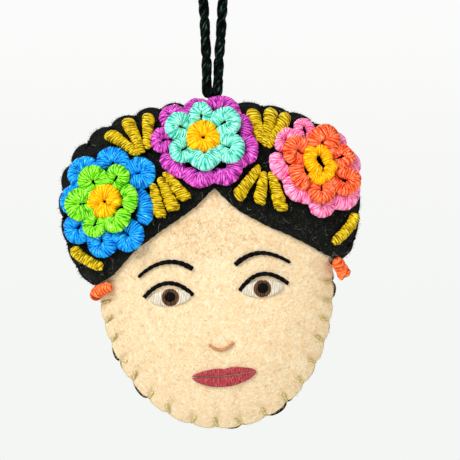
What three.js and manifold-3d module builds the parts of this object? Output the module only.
// A stuffed felt head with an embroidered flower crown that hangs on a cord loop.
// Lengths are millimetres. The origin is where a hook bears under the top of the loop.
// +Z is up and the face looks along -Y. Places on the head are (u, v): u across, v up, both from
// the point where the cord enters the top seam.

import * as THREE from 'three';
import { mergeVertices } from 'three/addons/utils/BufferGeometryUtils.js';
import Module from 'manifold-3d';

const wasm = await Module();
wasm.setup();

const radians = THREE.MathUtils.degToRad;
const at = (u, v) => new THREE.Vector2(u, v);

// Air between two pieces that touch in life
const clearance = 0.3;

// Cord loop
const loopHeight = 75;
const cordDiameter = 2.6;
const cordSides = 8;
const cordSteps = 46;
const knotDiameter = 2.6;
const whippingWidth = 4.6;
const whippingDepth = 3;
const whippingHeight = 1.6;
const tailDiameter = 1.7;
const tailLength = 15;
const tailSpread = 6;
const tailStartSpread = 0.6;
const tailStartShare = 0.7;
const tailEasing = 0.15;

// Head
const headTilt = radians(5.5);
const headCentre = at(-3.8, -44);
const feltThickness = 1.2;
const frontPuff = 8.5;
const backPuff = 10.5;
const puffFullness = 2.6;
const puffRoundness = 0.85;
const puckerFading = 4;
const stuffingInset = 2.2;
const stuffingSlack = 0.65;

// Crown of the head: a leaning rounded box outline, cut off level with the hair tips
const crown = { centre: at(-3.2, -27), halfWidth: 39.9, rise: 26.2, drop: 34, fullness: 2.3 };
const crownLean = radians(-3);
const hairTipLevel = -46.5;

// Face: a plain oval
const face = { centre: at(-3.8, -47), halfWidth: 31.5, rise: 45, drop: 41, fullness: 2.1 };
const faceEdgeInset = 0.5;
const faceInsetUnderHair = 4.5;
const faceInsetBlend = radians(6);

// Edge stitches: one pitch all round, and how far each stitch pulls the edge in
const edgeStitchCount = 40;
const crownStitchCount = 21;
const edgePitch = (2 * Math.PI) / edgeStitchCount;
const rightHairTip = -edgePitch / 2;
const leftHairTip = rightHairTip + crownStitchCount * edgePitch;
const loopStitchIndex = 10;
const crownPull = 0.8;
const chinPull = 0.35;
const edgeThread = 0.6;
const crownLegLength = 1.4;
const chinLegLength = 2.2;
const edgeSteepness = 1.7;
const edgeSwellRoom = 0.15;
const flowerCover = 3.6;

// Hairline, from each hair tip up to the parting
const hairlineLeft = [at(-30.8, -44.4), at(-26.1, -39.6), at(-16.1, -33), at(-8, -28.4), at(-1.7, -23.4)];
const hairlineRight = [at(27.5, -45), at(18.9, -39), at(10.2, -34), at(3.2, -29), at(-1.7, -23.4)];

// Wound (bullion) stitches
const outerPetalRadius = 1.6;
const innerPetalRadius = 1.45;
const petalHole = 0.15;
const petalLeg = 0.2;
const outerPetalPress = 0.9;
const innerPetalFoot = 3;
const innerPetalTip = 4.9;
const rosetteRadius = 4.6;
const rosetteTube = 2;
const rosetteLobes = 3;
const rosetteWaist = 0.1;
const leafRadius = 1.6;
const leafThinShare = 0.5;
const earKnotRadius = 1.65;

// Flowers: each petal's direction from the middle of the flower and the distance of its outer edge
const flowers = [
  {
    name: 'left',
    centre: at(-30.3, -24.5),
    outerPetals: [
      [32, 15.9], [72, 14.8], [120, 13.9], [169, 12.3], [221, 14.3], [260, 14.9], [299, 15.1], [343, 13.3],
    ],
    outerFooting: 10,
    innerFooting: 7,
    innerPetals: [[5, 9], [59, 10.7], [114, 10.5], [181, 10.9], [240, 10.1], [298, 9]],
    outerColour: '#0a80ea',
    innerColour: '#5ecb2c',
    centreColour: '#ffa50a',
  },
  {
    name: 'middle',
    centre: at(-3.3, -11.2),
    outerPetals: [
      [10, 13.6], [48, 12.5], [97, 11.1], [142, 13.6], [178, 14.2], [214, 13.3], [258, 13.4], [301, 14.4],
      [338, 15.1],
    ],
    outerFooting: 9.6,
    innerFooting: 7,
    innerPetals: [[28, 11], [89, 9.1], [152, 10.9], [204, 9.9], [267, 9], [334, 11.4]],
    outerColour: '#c44bbd',
    innerColour: '#74dcc6',
    centreColour: '#ffab0c',
  },
  {
    name: 'right',
    centre: at(25.6, -20.5),
    outerPetals: [
      [46, 12], [102, 13.2], [138, 14.2], [176, 13.8], [223, 12], [271, 14.1], [304, 14.5], [350, 12.2],
    ],
    outerFooting: 9.3,
    innerFooting: 7,
    innerPetals: [[12, 9.3], [78, 10.2], [143, 10.8], [207, 8.8], [269, 10.4], [320, 11]],
    outerColour: '#f482b8',
    innerColour: '#f5633f',
    centreColour: '#ffb20a',
  },
];

// Leaves: the fat outer end and the thin end of each bar
const leaves = {
  upper_left_1: [at(-29, -6.8), at(-21.2, -12.7)],
  upper_left_2: [at(-23.6, -3.6), at(-19.6, -12.2)],
  upper_left_3: [at(-18.6, -2.6), at(-18.4, -9.4)],
  lower_left_1: [at(-16.4, -30.4), at(-16, -22.9)],
  lower_left_2: [at(-12.6, -29), at(-14.9, -20.9)],
  lower_left_3: [at(-8.6, -26.6), at(-13.4, -20.4)],
  upper_right_1: [at(11.7, -4.8), at(12.7, -11.6)],
  upper_right_2: [at(15.5, -4.5), at(14.1, -11.8)],
  upper_right_3: [at(19.4, -6), at(16.9, -10.3)],
  lower_right_1: [at(3.9, -28.2), at(10.2, -20.6)],
  lower_right_2: [at(9.4, -30), at(11.6, -21.6)],
  lower_right_3: [at(15.2, -32.6), at(13.6, -23.7)],
  side_left: [at(-41, -36.8), at(-33.2, -42.8)],
  side_right: [at(34.6, -35.4), at(27.6, -41.6)],
};
const sideLeafBow = 0.9;
const sideLeafThickness = 0.8;
const earKnots = {
  left: [at(-31.8, -48.2), at(-38, -51.2)],
  right: [at(28.2, -46.3), at(32.2, -51.4)],
};

// Face embroidery, set out from the middle line of the face
const eyeWidth = 12.2;
const eyeSpacing = eyeWidth;
const eyeLevel = -51.5;
const eyeHeight = 4.6;
const eyePadHeight = 1;
const eyeEndRoom = 0.7;
const lidThread = 1.2;
const lidRise = 3.7;
const lidOuterReach = 0.8;
const lidOuterRise = 0.6;
const browLevel = -44;
const browRise = 2.4;
const browInnerReach = 0.5;
const browOuterReach = 1.8;
const browInnerDrop = 0.6;
const browOuterDrop = 1.4;
const browThread = 1.5;
const browThinning = 0.4;
const chinLevel = face.centre.y - face.drop;
const noseLevel = (browLevel + chinLevel) / 2;
const noseWidth = 6.4;
const noseWingRise = 1.2;
const noseThread = 0.9;
const mouthLevel = noseLevel + (chinLevel - noseLevel) / 3;
const mouthWidth = 17;
const lipHeight = 2;
const lipPadHeight = 1.2;
const upperLipBow = 0.2;
const lowerLipBow = -1.4;

const colours = {
  cord: '#0f1916',
  blackFelt: '#151713',
  faceFelt: '#fcd49f',
  stuffing: '#f4f2ec',
  leaf: '#bd9f12',
  earKnot: '#ee5c48',
  blackThread: '#11110f',
  eyeThread: '#5a3a22',
  lipThread: '#b8404a',
  noseThread: '#d29a68',
  chinThread: '#dcd08a',
};

// A felt or thread surface, matt all over
function material(colour, roughness = 0.92) {
  return new THREE.MeshStandardMaterial({ color: colour, roughness, metalness: 0 });
}

// One closed body: shared corners merged, collapsed faces dropped, faces turned outwards
function closedBody(source) {
  const open = source.clone();
  open.deleteAttribute('normal');
  open.deleteAttribute('uv');
  const body = mergeVertices(open, 1e-5);
  const corner = body.attributes.position;
  const kept = [];
  const [a, b, c] = [new THREE.Vector3(), new THREE.Vector3(), new THREE.Vector3()];
  let volume = 0;
  for (let i = 0; i < body.index.count; i += 3) {
    const ids = [body.index.getX(i), body.index.getX(i + 1), body.index.getX(i + 2)];
    if (new Set(ids).size === 3) {
      kept.push(...ids);
      a.fromBufferAttribute(corner, ids[0]);
      b.fromBufferAttribute(corner, ids[1]);
      c.fromBufferAttribute(corner, ids[2]);
      volume += a.dot(b.cross(c)) / 6;
    }
  }
  body.setIndex(volume < 0 ? kept.reverse() : kept);
  body.computeVertexNormals();
  return body;
}

// A solid for joins and cuts
function solid(geometry) {
  return new wasm.Manifold(new wasm.Mesh({
    numProp: 3,
    vertProperties: new Float32Array(geometry.attributes.position.array),
    triVerts: new Uint32Array(geometry.index.array),
  }));
}

// Back from a joined or cut solid to a geometry
function fromSolid(manifold) {
  const mesh = manifold.getMesh();
  const geometry = new THREE.BufferGeometry();
  geometry.setAttribute('position', new THREE.BufferAttribute(mesh.vertProperties, 3));
  geometry.setIndex(new THREE.BufferAttribute(mesh.triVerts, 1));
  geometry.computeVertexNormals();
  return geometry;
}

function joined(geometries) {
  return fromSolid(geometries.map(solid).reduce((whole, piece) => whole.add(piece)));
}

function cut(geometry, cutters) {
  return fromSolid(cutters.map(solid).reduce((whole, cutter) => whole.subtract(cutter), solid(geometry)));
}

function part(name, geometry, colour) {
  const mesh = new THREE.Mesh(geometry, material(colour));
  mesh.name = name;
  return mesh;
}

// How far a point lies through a rounded box outline: 1 on its edge
function rounding(shape, across, up) {
  const side = Math.abs(across / shape.halfWidth) ** shape.fullness;
  const level = Math.abs(up / (up > 0 ? shape.rise : shape.drop)) ** shape.fullness;
  return side + level;
}

function insideHead(u, v) {
  const fromCrown = at(u, v).sub(crown.centre).rotateAround(at(0, 0), -crownLean);
  const inCrown = v > hairTipLevel && rounding(crown, fromCrown.x, fromCrown.y) < 1;
  return inCrown || rounding(face, u - face.centre.x, v - face.centre.y) < 1;
}

// Distance from the middle of the head to its edge, by halving
function reachOfHead(angle) {
  let inner = 0;
  let outer = 2 * crown.halfWidth;
  while (outer - inner > 0.001) {
    const middle = (inner + outer) / 2;
    const u = headCentre.x + middle * Math.cos(angle);
    const v = headCentre.y + middle * Math.sin(angle);
    [inner, outer] = insideHead(u, v) ? [middle, outer] : [inner, middle];
  }
  return inner;
}

// The edge of the head as tables of radii: eased a little over the step at each hair tip for the
// edge itself, and eased much more for the middle of the pillow
const outlineSteps = 240;
const outlineStep = (2 * Math.PI) / outlineSteps;
const edgeEasing = 2;
const middleEasing = 18;
const sharpRadii = Array.from({ length: outlineSteps }, (_, index) => reachOfHead(index * outlineStep));

function easedRadii(easing) {
  return sharpRadii.map((_, index) => {
    let sum = 0;
    for (let shift = -easing; shift <= easing; shift += 1) {
      sum += sharpRadii[(index + shift + outlineSteps) % outlineSteps];
    }
    return sum / (2 * easing + 1);
  });
}

// Reads a table of radii at any angle
function radiusFrom(table) {
  return (angle) => {
    const place = THREE.MathUtils.euclideanModulo(angle / outlineStep, outlineSteps);
    const index = Math.floor(place);
    return THREE.MathUtils.lerp(table[index], table[(index + 1) % outlineSteps], place - index);
  };
}

const outlineRadius = radiusFrom(easedRadii(edgeEasing));
const middleRadius = radiusFrom(easedRadii(middleEasing));

function isOverCrown(angle) {
  const fromTip = THREE.MathUtils.euclideanModulo(angle - rightHairTip, 2 * Math.PI);
  return fromTip < leftHairTip - rightHairTip;
}

// The sewn edge: each stitch pulls it in, so that it swells between stitches
function sewnRadius(angle) {
  const between = Math.abs(Math.sin((Math.PI * (angle - rightHairTip)) / edgePitch));
  const pull = isOverCrown(angle) ? crownPull : chinPull;
  return outlineRadius(angle) - pull * (1 - between) ** 2;
}

// The face felt keeps back from the edge, further under the hair than round the chin
function faceRadius(angle) {
  const pastRightTip = THREE.MathUtils.euclideanModulo(rightHairTip - angle, 2 * Math.PI);
  const pastLeftTip = THREE.MathUtils.euclideanModulo(angle - leftHairTip, 2 * Math.PI);
  const open = isOverCrown(angle) ? 0 : Math.min(pastRightTip, pastLeftTip) / faceInsetBlend;
  const inset = THREE.MathUtils.lerp(
    faceInsetUnderHair, faceEdgeInset, THREE.MathUtils.smoothstep(open, 0, 1));
  return sewnRadius(angle) - inset;
}

// Height of the stuffed pillow over the seam plane: none at the edge, full in the middle. The
// puckers and steps of the edge fade away towards the middle.
function puff(u, v, depth, edge) {
  const angle = Math.atan2(v - headCentre.y, u - headCentre.x);
  const distance = Math.hypot(u - headCentre.x, v - headCentre.y);
  const toEdge = Math.min(distance / edge(angle), 1);
  const share = THREE.MathUtils.lerp(distance / middleRadius(angle), toEdge, toEdge ** puckerFading);
  return depth * (1 - Math.min(share, 1) ** puffFullness) ** puffRoundness;
}

// Distance in from the sewn edge
function inFromEdge(u, v) {
  const angle = Math.atan2(v - headCentre.y, u - headCentre.x);
  return sewnRadius(angle) - Math.hypot(u - headCentre.x, v - headCentre.y);
}

// The hair felt climbs from the seam on to the face felt under it
function hairStep(u, v) {
  const climb = THREE.MathUtils.smoothstep(inFromEdge(u, v), 0, faceInsetUnderHair - clearance);
  return climb * (feltThickness + clearance);
}

const faceInner = (u, v) => -(puff(u, v, frontPuff, sewnRadius) + clearance / 2);
const faceOuter = (u, v) => faceInner(u, v) - feltThickness;
const hairInner = (u, v) => faceInner(u, v) - hairStep(u, v);
const hairOuter = (u, v) => hairInner(u, v) - feltThickness;
const backInner = (u, v) => puff(u, v, backPuff, sewnRadius) + clearance / 2;
const backOuter = (u, v) => backInner(u, v) + feltThickness;

// A disc of felt or filling: cut to an outline, then pushed out to two domed sides
function domedDisc({ reach, near, far, around, rings }) {
  const profile = [];
  for (let ring = 0; ring <= rings; ring += 1) {
    profile.push(at(Math.sin((ring / rings) * (Math.PI / 2)), 1));
  }
  const section = [...profile, ...profile.map((point) => at(point.x, -1)).reverse()];
  const disc = new THREE.LatheGeometry(section, around);
  const corner = disc.attributes.position;
  for (let i = 0; i < corner.count; i += 1) {
    const share = Math.hypot(corner.getX(i), corner.getZ(i));
    const angle = Math.atan2(corner.getZ(i), corner.getX(i)) + rightHairTip;
    const u = headCentre.x + share * reach(angle) * Math.cos(angle);
    const v = headCentre.y + share * reach(angle) * Math.sin(angle);
    const side = corner.getY(i) > 0 ? near : far;
    corner.setXYZ(i, u, side(u, v), v);
  }
  return closedBody(disc);
}

// The hair felt: strips from the hairline out to the sewn crown edge
function hairSheet() {
  const alongEdge = crownStitchCount * 3;
  const acrossHair = 6;
  const left = new THREE.SplineCurve(hairlineLeft);
  const right = new THREE.SplineCurve([...hairlineRight].reverse());
  const sheet = new THREE.BoxGeometry(1, 1, 1, alongEdge, acrossHair, 1);
  const corner = sheet.attributes.position;
  for (let i = 0; i < corner.count; i += 1) {
    const along = corner.getX(i) + 0.5;
    const across = Math.sin((corner.getY(i) + 0.5) * (Math.PI / 2));
    const angle = THREE.MathUtils.lerp(leftHairTip, rightHairTip, along);
    const edge = at(Math.cos(angle), Math.sin(angle)).multiplyScalar(sewnRadius(angle)).add(headCentre);
    const hairline = along < 0.5 ? left.getPoint(along * 2) : right.getPoint(along * 2 - 1);
    const place = hairline.lerp(edge, across);
    const side = corner.getZ(i) > 0 ? hairOuter : hairInner;
    corner.setXYZ(i, place.x, side(place.x, place.y), place.y);
  }
  return closedBody(sheet);
}

// Where pieces lie on the front: the smooth outer side of a felt, without the stitch puckers
const facePlane = (u, v) => -(puff(u, v, frontPuff, outlineRadius) + clearance / 2 + feltThickness);
const hairPlane = (u, v) => facePlane(u, v) - hairStep(u, v);

function outwards(surface, u, v) {
  const nudge = 0.5;
  const acrossSlope = (surface(u + nudge, v) - surface(u - nudge, v)) / (2 * nudge);
  const upSlope = (surface(u, v + nudge) - surface(u, v - nudge)) / (2 * nudge);
  return new THREE.Vector3(acrossSlope, -1, upSlope).normalize();
}

function onSurface(surface, u, v, height) {
  return new THREE.Vector3(u, surface(u, v), v).addScaledVector(outwards(surface, u, v), height);
}

// A wound or satin stitch: a swelling bar with round ends, laid along a path on a felt
function stitchBar({
  path, surface, width, height = width, swell = () => 1, centreHeight, steps = 8, sides = 6,
}) {
  const lift = centreHeight ?? (() => clearance + height / 2);
  const length = path.getLength();
  const bar = new THREE.SphereGeometry(1, sides, steps);
  const corner = bar.attributes.position;
  const centreAt = (share) => {
    const spot = path.getPointAt(THREE.MathUtils.clamp(share, 0, 1));
    return onSurface(surface, spot.x, spot.y, lift(spot.x, spot.y));
  };
  for (let i = 0; i < corner.count; i += 1) {
    const share = (1 - corner.getY(i)) / 2;
    const turn = Math.atan2(corner.getZ(i), corner.getX(i));
    const spot = path.getPointAt(share);
    const normal = outwards(surface, spot.x, spot.y);
    const along = centreAt(share + 0.01).sub(centreAt(share - 0.01)).normalize();
    const across = new THREE.Vector3().crossVectors(normal, along).normalize();
    const up = new THREE.Vector3().crossVectors(along, across);
    const fromEnd = Math.min(share, 1 - share) * length;
    const round = Math.sqrt(1 - (1 - Math.min((2 * fromEnd) / width, 1)) ** 2);
    const size = round * swell(share);
    const place = centreAt(share)
      .addScaledVector(across, (size * width * Math.cos(turn)) / 2)
      .addScaledVector(up, (size * height * Math.sin(turn)) / 2);
    corner.setXYZ(i, place.x, place.y, place.z);
  }
  return closedBody(bar);
}

// Each petal fills its own share of the ring, half way to the petals beside it
function petalRooms(petals) {
  const count = petals.length;
  return petals.map(([angle, edge], index) => {
    const before = petals[(index + count - 1) % count][0] - (index === 0 ? 360 : 0);
    const after = petals[(index + 1) % count][0] + (index === count - 1 ? 360 : 0);
    const from = (before + angle) / 2;
    const to = (angle + after) / 2;
    return { middle: radians((from + to) / 2), half: radians((to - from) / 2), edge };
  });
}

// A petal: one wound bar bent into a C that opens to the middle of the flower. The petals of a ring
// stand on one footing, so that each touches the next, and reach out from it by different lengths.
function petal({ centre, ringFooting, room, thickest, gap, height }) {
  const { edge } = room;
  const footing = Math.min(ringFooting, edge - 2 * thickest - petalHole - petalLeg);
  const widest = footing * Math.sin(room.half) - gap / 2;
  const slope = Math.cos(room.half);
  const radius = Math.min(thickest, (widest - petalHole * slope) / (1 + slope));
  const halfSpan = (widest - radius) / slope;
  const bend = radius + petalHole;
  const foot = footing + thickest - radius;
  const shoulder = edge - radius - bend;
  const outline = new THREE.Path();
  outline.moveTo(-halfSpan, foot - radius);
  outline.lineTo(-halfSpan, shoulder);
  outline.absarc(bend - halfSpan, shoulder, bend, Math.PI, Math.PI / 2, true);
  outline.lineTo(halfSpan - bend, shoulder + bend);
  outline.absarc(halfSpan - bend, shoulder, bend, Math.PI / 2, 0, true);
  outline.lineTo(halfSpan, foot - radius);
  const turned = outline.getSpacedPoints(14).map((point) => (
    point.rotateAround(at(0, 0), room.middle - Math.PI / 2).add(centre)));
  return stitchBar({
    path: new THREE.SplineCurve(turned),
    surface: hairPlane,
    width: 2 * radius,
    centreHeight: (u, v) => height(at(u, v).distanceTo(centre), edge, radius),
  });
}

function flowerParts(flower) {
  const outer = petalRooms(flower.outerPetals).map((room) => petal({
    centre: flower.centre,
    ringFooting: flower.outerFooting,
    room,
    thickest: outerPetalRadius,
    gap: -outerPetalPress,
    height: (distance, edge, radius) => clearance + radius,
  }));
  const inner = petalRooms(flower.innerPetals).map((room) => petal({
    centre: flower.centre,
    ringFooting: flower.innerFooting,
    room,
    thickest: innerPetalRadius,
    gap: clearance,
    height: (distance, edge, radius) => {
      const outwardShare = (distance - (edge - 4 * radius)) / (3 * radius);
      return THREE.MathUtils.lerp(innerPetalFoot, innerPetalTip, THREE.MathUtils.clamp(outwardShare, 0, 1));
    },
  }));
  return [
    part(`${flower.name}_flower_outer_petals`, joined(outer), flower.outerColour),
    ...inner.map((body, index) => (
      part(`${flower.name}_flower_inner_petal_${index + 1}`, body, flower.innerColour))),
    part(`${flower.name}_flower_centre`, rosette(flower), flower.centreColour),
  ];
}

// The middle of a flower: three wound bars coiled into a ring, drawn in where they meet
function rosette(flower) {
  const ring = new THREE.TorusGeometry(rosetteRadius - rosetteTube, rosetteTube, 7, 18);
  const corner = ring.attributes.position;
  const middle = onSurface(hairPlane, flower.centre.x, flower.centre.y, clearance + rosetteTube);
  const facing = outwards(hairPlane, flower.centre.x, flower.centre.y);
  const turn = new THREE.Quaternion().setFromUnitVectors(new THREE.Vector3(0, 0, 1), facing);
  const place = new THREE.Vector3();
  for (let i = 0; i < corner.count; i += 1) {
    place.fromBufferAttribute(corner, i);
    const lobe = Math.abs(Math.sin((rosetteLobes * Math.atan2(place.y, place.x)) / 2));
    place.multiplyScalar(1 - rosetteWaist * (1 - lobe) ** 2);
    place.applyQuaternion(turn).add(middle);
    corner.setXYZ(i, place.x, place.y, place.z);
  }
  return closedBody(ring);
}

// A leaf: a straight or bowed bar, fat at its outer end
function leafParts() {
  return Object.entries(leaves).map(([name, [fatEnd, thinEnd]]) => {
    const side = name.startsWith('side');
    const middle = fatEnd.clone().lerp(thinEnd, 0.5);
    const away = middle.clone().sub(headCentre).setLength(side ? sideLeafBow : 0);
    const body = stitchBar({
      path: new THREE.QuadraticBezierCurve(fatEnd, middle.add(away), thinEnd),
      surface: hairPlane,
      width: 2 * leafRadius * (side ? sideLeafThickness : 1),
      swell: (share) => THREE.MathUtils.lerp(1, side ? sideLeafThickness : leafThinShare, share),
    });
    return part(`leaf_${name}`, body, colours.leaf);
  });
}

function earKnotParts() {
  return Object.entries(earKnots).map(([side, [from, to]]) => {
    const path = new THREE.LineCurve(from, to);
    const body = stitchBar({ path, surface: facePlane, width: 2 * earKnotRadius });
    return part(`ear_knot_${side}`, body, colours.earKnot);
  });
}

// Brows, lids, eyes, nose and lips, set out on both sides of the middle line
function faceParts() {
  const middle = face.centre.x;
  const eyeCentre = (eyeWidth + eyeSpacing) / 2;
  const arch = (from, top, to) => new THREE.QuadraticBezierCurve(from, top, to);
  const almond = (share) => Math.sin(Math.PI * share) ** 0.5;
  const thinning = (share) => 1 - browThinning * share;
  const sides = [['left', -1], ['right', 1]].flatMap(([side, sign]) => {
    const inner = eyeCentre - eyeWidth / 2;
    const outer = eyeCentre + eyeWidth / 2;
    const spot = (across, level) => at(middle + sign * across, level);
    const brow = arch(
      spot(inner - browInnerReach, browLevel - browInnerDrop),
      spot(eyeCentre, browLevel + 2 * browRise),
      spot(outer + browOuterReach, browLevel - browOuterDrop));
    const lid = arch(
      spot(inner, eyeLevel),
      spot(eyeCentre, eyeLevel + 2 * lidRise),
      spot(outer + lidOuterReach, eyeLevel + lidOuterRise));
    const eye = new THREE.LineCurve(
      spot(inner + eyeEndRoom, eyeLevel), spot(outer - eyeEndRoom, eyeLevel));
    return [
      part(`brow_${side}`, stitchBar({
        path: brow, surface: facePlane, width: browThread, swell: thinning,
      }), colours.blackThread),
      part(`eyelid_${side}`, stitchBar({
        path: lid, surface: facePlane, width: lidThread,
      }), colours.blackThread),
      part(`eye_${side}`, stitchBar({
        path: eye, surface: facePlane, width: eyeHeight, height: eyePadHeight, swell: almond, sides: 8,
      }), colours.eyeThread),
    ];
  });
  const nose = arch(
    at(middle - noseWidth / 2, noseLevel + noseWingRise),
    at(middle, noseLevel - 2 * noseWingRise),
    at(middle + noseWidth / 2, noseLevel + noseWingRise));
  const lipEnd = mouthWidth / 2;
  const lip = (level, bow) => stitchBar({
    path: arch(at(middle - lipEnd, level), at(middle, level + bow), at(middle + lipEnd, level)),
    surface: facePlane,
    width: lipHeight,
    height: lipPadHeight,
    swell: almond,
    steps: 10,
  });
  const lipSeam = (lipHeight + clearance) / 2;
  return [
    ...sides,
    part('nose_stitch', stitchBar({
      path: nose, surface: facePlane, width: noseThread,
    }), colours.noseThread),
    part('upper_lip', lip(mouthLevel + lipSeam, upperLipBow), colours.lipThread),
    part('lower_lip', lip(mouthLevel - lipSeam, lowerLipBow), colours.lipThread),
  ];
}

// A round thread swept along points in space
function sweptThread(points, diameter, steps, sides) {
  const section = new THREE.Shape();
  for (let i = 0; i < sides; i += 1) {
    const turn = (i / sides) * 2 * Math.PI;
    const corner = at(Math.cos(turn), Math.sin(turn)).multiplyScalar(diameter / 2);
    section[i === 0 ? 'moveTo' : 'lineTo'](corner.x, corner.y);
  }
  const path = new THREE.CatmullRomCurve3(points, false, 'centripetal');
  return closedBody(new THREE.ExtrudeGeometry(section, { steps, extrudePath: path, bevelEnabled: false }));
}

// An edge stitch this near a petal is covered by it on the front
function isUnderFlower(angle) {
  const edge = at(Math.cos(angle), Math.sin(angle)).multiplyScalar(sewnRadius(angle)).add(headCentre);
  return flowers.some((flower) => {
    const away = edge.clone().sub(flower.centre);
    return petalRooms(flower.outerPetals).some((room) => {
      const inRoom = Math.cos(away.angle() - room.middle) > Math.cos(room.half);
      return inRoom && away.length() < room.edge + flowerCover;
    });
  });
}

// Edge stitching: a thread along the edge, and at each stitch a leg over both felts
function edgeStitching(firstIndex, lastIndex, front, legLength) {
  const half = edgeThread / 2;
  const point = (angle, outwardBy, depth) => {
    const radius = sewnRadius(angle) + outwardBy;
    return new THREE.Vector3(
      headCentre.x + radius * Math.cos(angle), depth, headCentre.y + radius * Math.sin(angle));
  };
  const beside = clearance + half + edgeSwellRoom;
  const overSlope = beside * edgeSteepness;
  const run = [];
  const legs = [];
  for (let index = firstIndex; index <= lastIndex; index += 1) {
    const angle = rightHairTip + index * edgePitch;
    run.push(point(angle, beside, 0));
    if (index < lastIndex) {
      run.push(point(angle + edgePitch / 2, beside, 0));
    }
    const frontAt = (inBy) => {
      const spot = point(angle, -inBy, 0);
      return point(angle, -inBy, front(spot.x, spot.z) - overSlope);
    };
    const backAt = (inBy) => {
      const spot = point(angle, -inBy, 0);
      return point(angle, -inBy, backOuter(spot.x, spot.z) + overSlope);
    };
    const overFront = isUnderFlower(angle) ? [] : [frontAt(legLength), frontAt(0)];
    const corners = [...overFront, point(angle, beside, 0), backAt(0), backAt(legLength)];
    legs.push(sweptThread(corners, edgeThread, corners.length, 4));
  }
  const edge = sweptThread(run, edgeThread, run.length - 1, 4);
  return joined([edge, ...legs]);
}

// The cord: up one strand, over the hook and down the other, chosen by hand
const loopRoute = [
  [-1.45, -71.7], [-1.5, -67], [-1.75, -60], [-2.2, -52], [-2.7, -44], [-3.3, -36], [-4, -28], [-4.8, -20],
  [-5.5, -13], [-5.9, -7.5], [-5.6, -3.2], [-4.3, 0], [-2.3, 1],
  [0, 1.3],
  [2.3, 1], [4.3, 0], [5.6, -3.2], [6, -7.5], [5.7, -13], [5.1, -20], [4.4, -28], [3.7, -36],
  [3.1, -44], [2.6, -52], [2.1, -60], [1.65, -67], [1.45, -71.7],
];

function loopPart() {
  const points = loopRoute.map(([x, z]) => new THREE.Vector3(x, 0, z));
  return part('hanging_loop', sweptThread(points, cordDiameter, cordSteps, cordSides), colours.cord);
}

// Thread wrapped round both strands just above the seam
function whippingPart() {
  const half = whippingHeight / 2;
  const wrap = [-90, -70, -40, 0, 40, 70, 90].map(radians).map((rise) => (
    at(Math.abs(Math.cos(rise)) ** 0.5, half * Math.sin(rise))));
  const body = new THREE.LatheGeometry(wrap, 16);
  body.scale(whippingWidth / 2, 1, whippingDepth / 2);
  body.rotateX(Math.PI / 2);
  body.translate(0, 0, knotDiameter / 2 + clearance + half);
  return part('loop_whipping', closedBody(body), colours.cord);
}

// The knot in the seam, the middle of every swing
function knotBody(diameter) {
  return closedBody(new THREE.SphereGeometry(diameter / 2, 14, 10));
}

// The cut ends of the cord, spread in the filling
function tailBodies(diameter) {
  const top = -(knotDiameter / 2 + clearance);
  return [-1, 1].map((sign) => {
    const path = new THREE.QuadraticBezierCurve(
      at(sign * tailStartSpread, top - (tailDiameter - diameter) / 2),
      at(sign * tailStartSpread, top - tailLength / 2),
      at(sign * tailSpread, top - tailLength));
    return stitchBar({
      path,
      surface: () => 0,
      width: diameter,
      swell: (share) => Math.min(THREE.MathUtils.lerp(tailStartShare, 1, share / tailEasing), 1),
      centreHeight: () => 0,
      sides: 8,
    });
  });
}

const hingeGroup = new THREE.Group();
hingeGroup.position.z = -loopHeight;
hingeGroup.add(whippingPart(), part('loop_knot', knotBody(knotDiameter), colours.cord));

const pocket = knotBody(knotDiameter + 2 * clearance);
const edgeSegments = edgeStitchCount * 3;
const feltRings = 5;
const fillingRadius = (angle) => outlineRadius(angle) - stuffingInset;
const filling = domedDisc({
  reach: fillingRadius,
  near: (u, v) => faceInner(u, v) + stuffingSlack,
  far: (u, v) => backInner(u, v) - stuffingSlack,
  around: edgeStitchCount,
  rings: feltRings,
});

const headGroup = new THREE.Group();
headGroup.position.z = -loopHeight;
headGroup.rotation.y = -headTilt;
headGroup.add(
  part('back_felt', cut(domedDisc({
    reach: sewnRadius, near: backInner, far: backOuter, around: edgeSegments, rings: feltRings,
  }), [pocket]), colours.blackFelt),
  part('face_felt', domedDisc({
    reach: faceRadius, near: faceOuter, far: faceInner, around: edgeSegments, rings: feltRings,
  }), colours.faceFelt),
  part('hair_felt', cut(hairSheet(), [pocket]), colours.blackFelt),
  part('stuffing', cut(filling, tailBodies(tailDiameter + 2 * clearance)), colours.stuffing),
  part('loop_tails', joined(tailBodies(tailDiameter)), colours.cord),
  part('crown_stitches_right', edgeStitching(
    0, loopStitchIndex - 1, hairOuter, crownLegLength), colours.blackThread),
  part('crown_stitches_left', edgeStitching(
    loopStitchIndex + 1, crownStitchCount, hairOuter, crownLegLength), colours.blackThread),
  part('chin_stitches', edgeStitching(
    crownStitchCount + 1, edgeStitchCount - 1, faceOuter, chinLegLength), colours.chinThread),
  ...flowers.flatMap(flowerParts),
  ...leafParts(),
  ...earKnotParts(),
  ...faceParts(),
);

const ornament = new THREE.Group();
ornament.add(loopPart(), hingeGroup, headGroup);

export default ornament;
